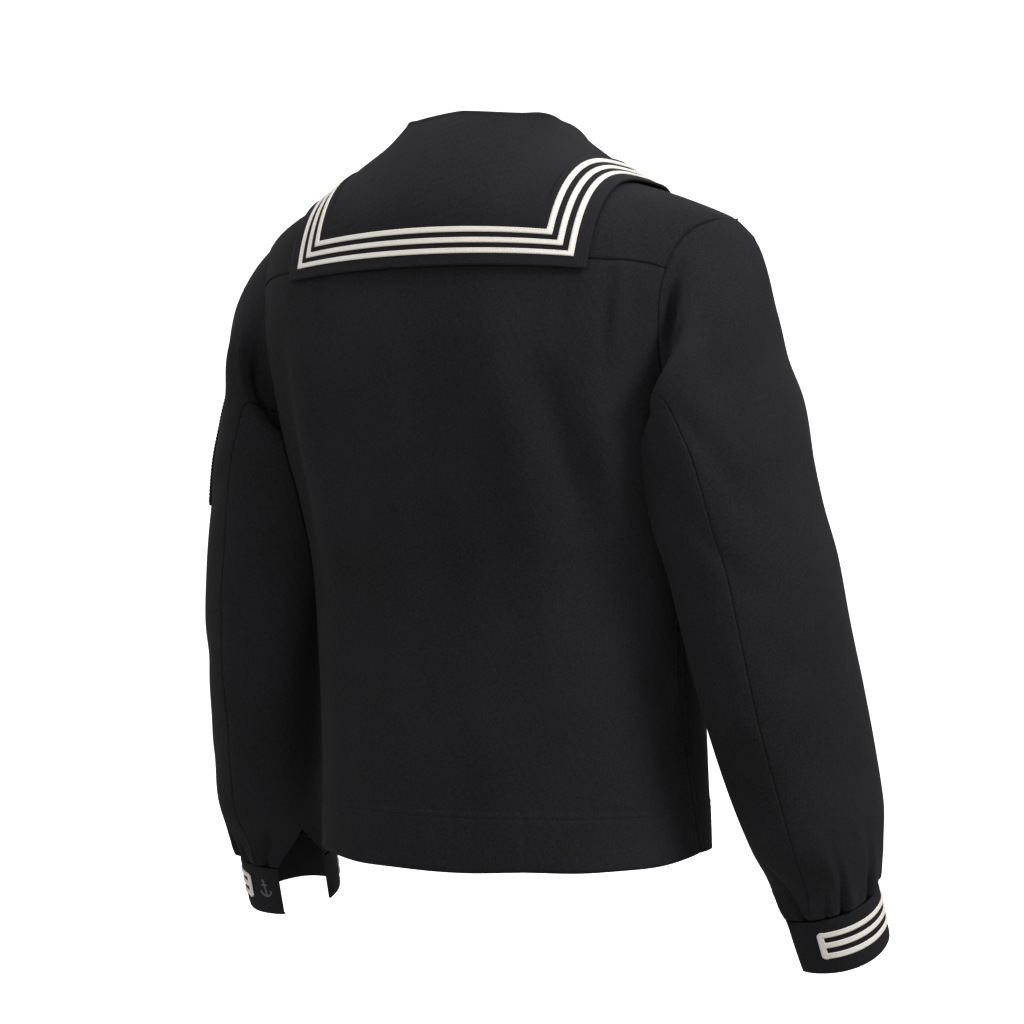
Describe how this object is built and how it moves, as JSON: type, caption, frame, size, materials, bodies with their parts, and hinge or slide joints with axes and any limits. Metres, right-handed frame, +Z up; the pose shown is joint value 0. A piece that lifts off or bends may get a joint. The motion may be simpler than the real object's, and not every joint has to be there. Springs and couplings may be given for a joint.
{
  "type": "sailor jumper",
  "caption": "Dark wool sailor jumper with a square collar edged in pale tape, a V neck, a back yoke, set-in sleeves and taped band cuffs, filled out as if worn.",
  "frame": {"origin": "middle of the neck opening at the height where the shoulder lines meet it", "axes": "+X to the wearer's left, -Y to the wearer's front, +Z up along the wearer's back"},
  "size_m": [0.6644, 0.303, 0.7541],
  "materials": {
    "body_wool": "matt",
    "collar_wool": "matt",
    "tape": "satin",
    "embroidery": "satin"
  },
  "bodies": {
    "root": {"back_panel": "body_wool", "front_panel": "body_wool", "yoke": "body_wool", "sleeve_top_left": "body_wool", "sleeve_under_left": "body_wool", "sleeve_top_right": "body_wool", "sleeve_under_right": "body_wool", "cuff_left": "body_wool", "cuff_right": "body_wool", "sleeve_patch_left": "body_wool", "sailor_collar": "collar_wool", "collar_tape_outer": "tape", "collar_tape_middle": "tape", "collar_tape_inner": "tape", "cuff_tapes_left": "tape", "cuff_tapes_right": "tape", "cuff_anchor_left": "embroidery"}
  },
  "joints": []
}
